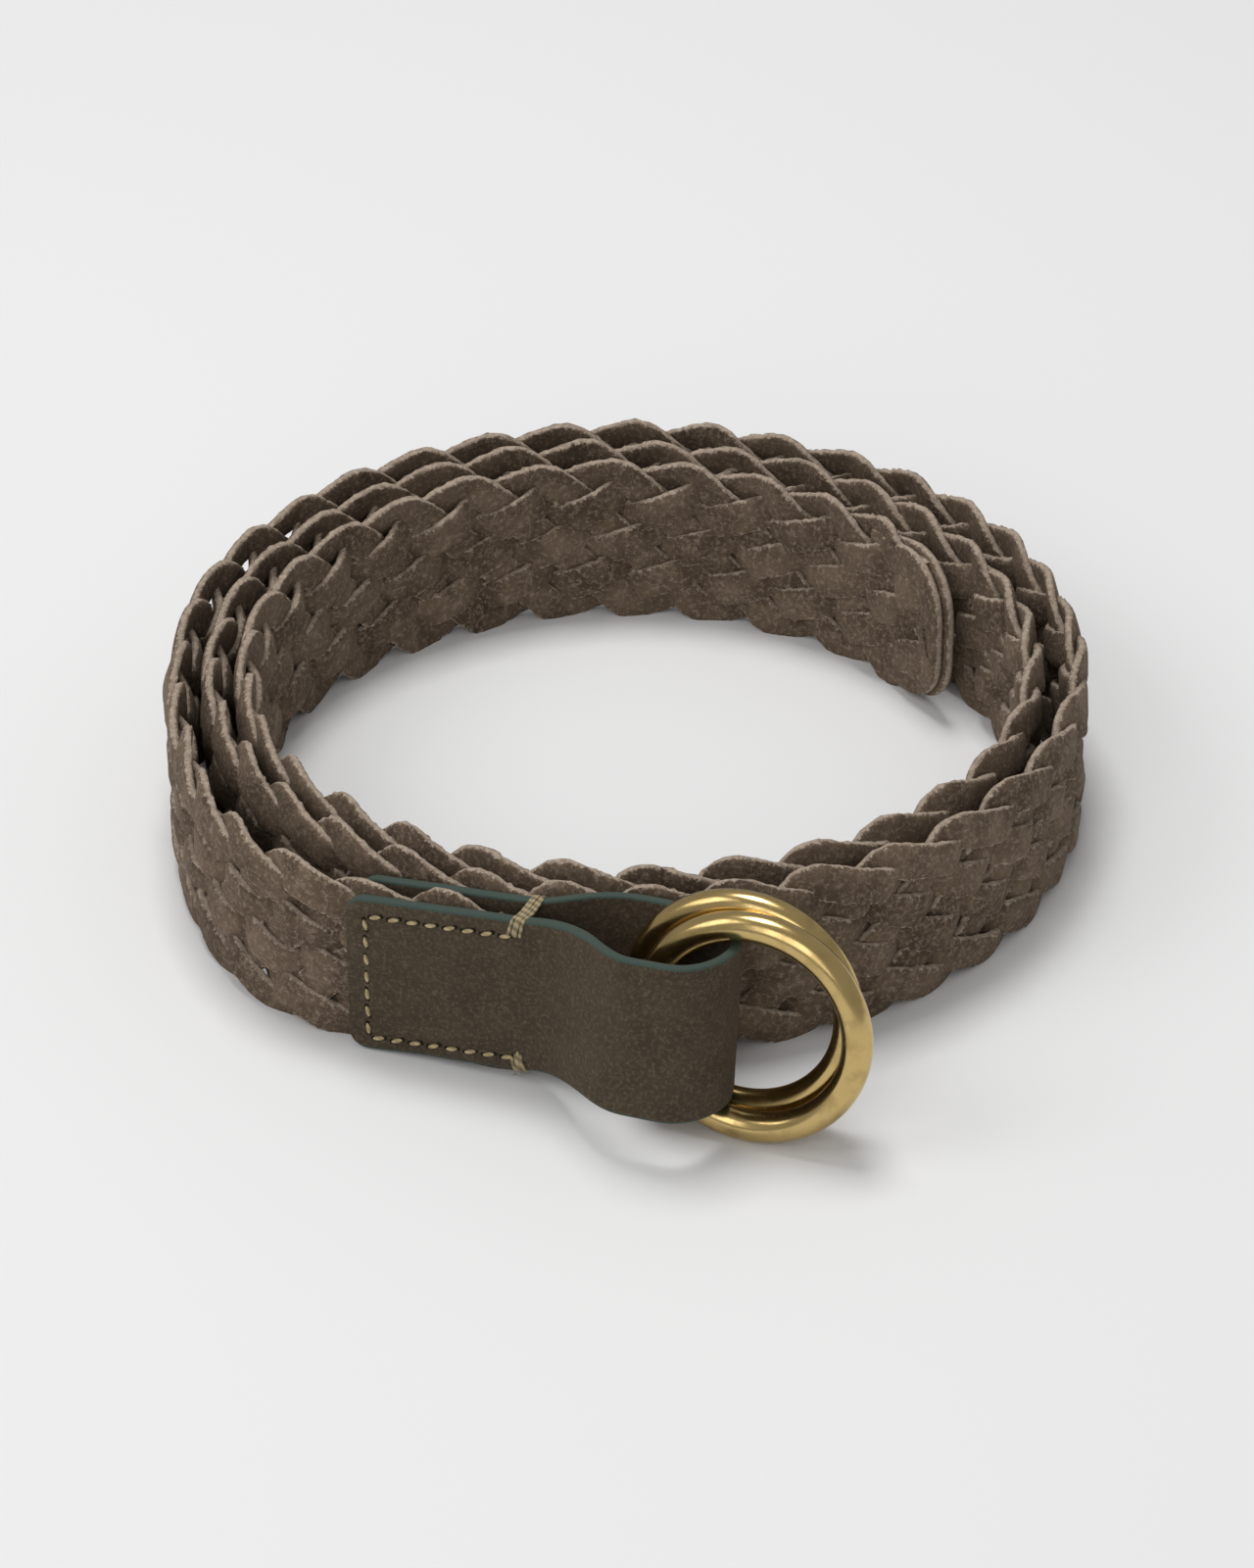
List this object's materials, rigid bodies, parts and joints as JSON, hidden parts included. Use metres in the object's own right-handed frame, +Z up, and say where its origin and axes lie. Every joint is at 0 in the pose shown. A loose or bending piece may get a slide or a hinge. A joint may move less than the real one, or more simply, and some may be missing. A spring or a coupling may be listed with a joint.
{
  "type": "braided suede belt",
  "caption": "Coiled braided suede belt standing on its edge, with a folded stitched tab holding a pair of round brass rings as its fastening.",
  "frame": {"origin": "middle of the bounding box at the base, the surface that the coil stands on", "axes": "+Z up, across the width of the strap; -Y is the side with the tab and the rings; the tab runs towards +X and -Y"},
  "size_m": [0.156, 0.181, 0.0396],
  "materials": {
    "suede_braid": "napped suede strands, taupe brown, paler fuzzy cut edges",
    "suede_tab": "short-napped suede, dark taupe, dark green painted edges",
    "brass": "polished, lightly aged",
    "thread": "waxed straw-gold sewing thread"
  },
  "bodies": {
    "tab": {"braid_end": "suede_braid", "tab_leaf_front": "suede_tab", "tab_leaf_back": "suede_tab", "seam_thread_front": "thread", "seam_thread_back": "thread", "bar_tack_top": "thread", "bar_tack_bottom": "thread"},
    "strap_01": {"braid_link_01": "suede_braid", "braid_link_02": "suede_braid"},
    "strap_02": {"braid_link_03": "suede_braid", "braid_link_04": "suede_braid"},
    "strap_03": {"braid_link_05": "suede_braid", "braid_link_06": "suede_braid"},
    "strap_04": {"braid_link_07": "suede_braid", "braid_link_08": "suede_braid"},
    "strap_05": {"braid_link_09": "suede_braid", "braid_link_10": "suede_braid"},
    "strap_06": {"braid_link_11": "suede_braid", "braid_link_12": "suede_braid"},
    "strap_07": {"braid_link_13": "suede_braid", "braid_link_14": "suede_braid"},
    "strap_08": {"braid_link_15": "suede_braid", "braid_link_16": "suede_braid"},
    "strap_09": {"braid_link_17": "suede_braid", "braid_link_18": "suede_braid"},
    "strap_10": {"braid_link_19": "suede_braid", "braid_link_20": "suede_braid"},
    "strap_11": {"braid_link_21": "suede_braid", "braid_link_22": "suede_braid"},
    "strap_12": {"braid_link_23": "suede_braid", "braid_link_24": "suede_braid"},
    "strap_13": {"braid_link_25": "suede_braid", "braid_link_26": "suede_braid"},
    "strap_14": {"braid_link_27": "suede_braid", "braid_link_28": "suede_braid"},
    "strap_15": {"braid_link_29": "suede_braid", "braid_link_30": "suede_braid"},
    "strap_16": {"braid_link_31": "suede_braid", "braid_link_32": "suede_braid"},
    "strap_17": {"braid_link_33": "suede_braid", "braid_link_34": "suede_braid"},
    "strap_18": {"braid_link_35": "suede_braid", "braid_link_36": "suede_braid"},
    "strap_19": {"braid_link_37": "suede_braid", "braid_link_38": "suede_braid"},
    "strap_20": {"braid_link_39": "suede_braid"},
    "loop": {"tab_loop": "suede_tab"},
    "ring_front": {"ring_front": "brass"},
    "ring_rear": {"ring_rear": "brass"}
  },
  "joints": [
    {"name": "uncoil_01", "type": "hinge", "parent": "tab", "child": "strap_01", "pos_m": [-0.04741, -0.05453, 0.015], "axis": [0, 0, 1], "range_deg": [0, 19]},
    {"name": "uncoil_02", "type": "hinge", "parent": "strap_01", "child": "strap_02", "pos_m": [-0.0753, -0.00709, 0.015], "axis": [0, 0, 1], "range_deg": [0, 19.01]},
    {"name": "uncoil_03", "type": "hinge", "parent": "strap_02", "child": "strap_03", "pos_m": [-0.06561, 0.05224, 0.015], "axis": [0, 0, 1], "range_deg": [0, 19.01]},
    {"name": "uncoil_04", "type": "hinge", "parent": "strap_03", "child": "strap_04", "pos_m": [-0.01439, 0.08848, 0.015], "axis": [0, 0, 1], "range_deg": [0, 19.01]},
    {"name": "uncoil_05", "type": "hinge", "parent": "strap_04", "child": "strap_05", "pos_m": [0.04611, 0.07469, 0.015], "axis": [0, 0, 1], "range_deg": [0, 19.01]},
    {"name": "uncoil_06", "type": "hinge", "parent": "strap_05", "child": "strap_06", "pos_m": [0.07599, 0.02101, 0.015], "axis": [0, 0, 1], "range_deg": [0, 19.01]},
    {"name": "uncoil_07", "type": "hinge", "parent": "strap_06", "child": "strap_07", "pos_m": [0.05632, -0.03654, 0.015], "axis": [0, 0, 1], "range_deg": [0, 19.01]},
    {"name": "uncoil_08", "type": "hinge", "parent": "strap_07", "child": "strap_08", "pos_m": [0.00106, -0.06026, 0.015], "axis": [0, 0, 1], "range_deg": [0, 19.01]},
    {"name": "uncoil_09", "type": "hinge", "parent": "strap_08", "child": "strap_09", "pos_m": [-0.05287, -0.03548, 0.015], "axis": [0, 0, 1], "range_deg": [0, 19.01]},
    {"name": "uncoil_10", "type": "hinge", "parent": "strap_09", "child": "strap_10", "pos_m": [-0.07032, 0.02037, 0.015], "axis": [0, 0, 1], "range_deg": [0, 19.01]},
    {"name": "uncoil_11", "type": "hinge", "parent": "strap_10", "child": "strap_11", "pos_m": [-0.04084, 0.06995, 0.015], "axis": [0, 0, 1], "range_deg": [0, 19.01]},
    {"name": "uncoil_12", "type": "hinge", "parent": "strap_11", "child": "strap_12", "pos_m": [0.01502, 0.08095, 0.015], "axis": [0, 0, 1], "range_deg": [0, 19.01]},
    {"name": "uncoil_13", "type": "hinge", "parent": "strap_12", "child": "strap_13", "pos_m": [0.05999, 0.04711, 0.015], "axis": [0, 0, 1], "range_deg": [0, 19.01]},
    {"name": "uncoil_14", "type": "hinge", "parent": "strap_13", "child": "strap_14", "pos_m": [0.06486, -0.00836, 0.015], "axis": [0, 0, 1], "range_deg": [0, 19.01]},
    {"name": "uncoil_15", "type": "hinge", "parent": "strap_14", "child": "strap_15", "pos_m": [0.02739, -0.04867, 0.015], "axis": [0, 0, 1], "range_deg": [0, 19.01]},
    {"name": "uncoil_16", "type": "hinge", "parent": "strap_15", "child": "strap_16", "pos_m": [-0.02691, -0.04792, 0.015], "axis": [0, 0, 1], "range_deg": [0, 19.01]},
    {"name": "uncoil_17", "type": "hinge", "parent": "strap_16", "child": "strap_17", "pos_m": [-0.06219, -0.00773, 0.015], "axis": [0, 0, 1], "range_deg": [0, 19.01]},
    {"name": "uncoil_18", "type": "hinge", "parent": "strap_17", "child": "strap_18", "pos_m": [-0.05601, 0.04454, 0.015], "axis": [0, 0, 1], "range_deg": [0, 19.01]},
    {"name": "uncoil_19", "type": "hinge", "parent": "strap_18", "child": "strap_19", "pos_m": [-0.0136, 0.07437, 0.015], "axis": [0, 0, 1], "range_deg": [0, 19.01]},
    {"name": "uncoil_20", "type": "hinge", "parent": "strap_19", "child": "strap_20", "pos_m": [0.03624, 0.06285, 0.015], "axis": [0, 0, 1], "range_deg": [0, 19.01]},
    {"name": "loop_bend", "type": "hinge", "parent": "tab", "child": "loop", "pos_m": [-0.01311, -0.06701, 0.015], "axis": [0, 0, 1], "range_deg": [-25, 0]},
    {"name": "ring_front_turn", "type": "hinge", "parent": "loop", "child": "ring_front", "pos_m": [0.01915, -0.0816, 0.01983], "axis": [-0.3387, -0.9305, 0.1392], "continuous": true},
    {"name": "ring_rear_turn", "type": "hinge", "parent": "loop", "child": "ring_rear", "pos_m": [0.01807, -0.07551, 0.01983], "axis": [-0.3387, -0.9305, 0.1392], "continuous": true}
  ],
  "couplings": [
    {"joint": "uncoil_02", "follows": "uncoil_01", "ratio": 1},
    {"joint": "uncoil_03", "follows": "uncoil_01", "ratio": 1},
    {"joint": "uncoil_04", "follows": "uncoil_01", "ratio": 1},
    {"joint": "uncoil_05", "follows": "uncoil_01", "ratio": 1},
    {"joint": "uncoil_06", "follows": "uncoil_01", "ratio": 1},
    {"joint": "uncoil_07", "follows": "uncoil_01", "ratio": 1},
    {"joint": "uncoil_08", "follows": "uncoil_01", "ratio": 1},
    {"joint": "uncoil_09", "follows": "uncoil_01", "ratio": 1},
    {"joint": "uncoil_10", "follows": "uncoil_01", "ratio": 1},
    {"joint": "uncoil_11", "follows": "uncoil_01", "ratio": 1},
    {"joint": "uncoil_12", "follows": "uncoil_01", "ratio": 1},
    {"joint": "uncoil_13", "follows": "uncoil_01", "ratio": 1},
    {"joint": "uncoil_14", "follows": "uncoil_01", "ratio": 1},
    {"joint": "uncoil_15", "follows": "uncoil_01", "ratio": 1},
    {"joint": "uncoil_16", "follows": "uncoil_01", "ratio": 1},
    {"joint": "uncoil_17", "follows": "uncoil_01", "ratio": 1},
    {"joint": "uncoil_18", "follows": "uncoil_01", "ratio": 1},
    {"joint": "uncoil_19", "follows": "uncoil_01", "ratio": 1},
    {"joint": "uncoil_20", "follows": "uncoil_01", "ratio": 1}
  ]
}
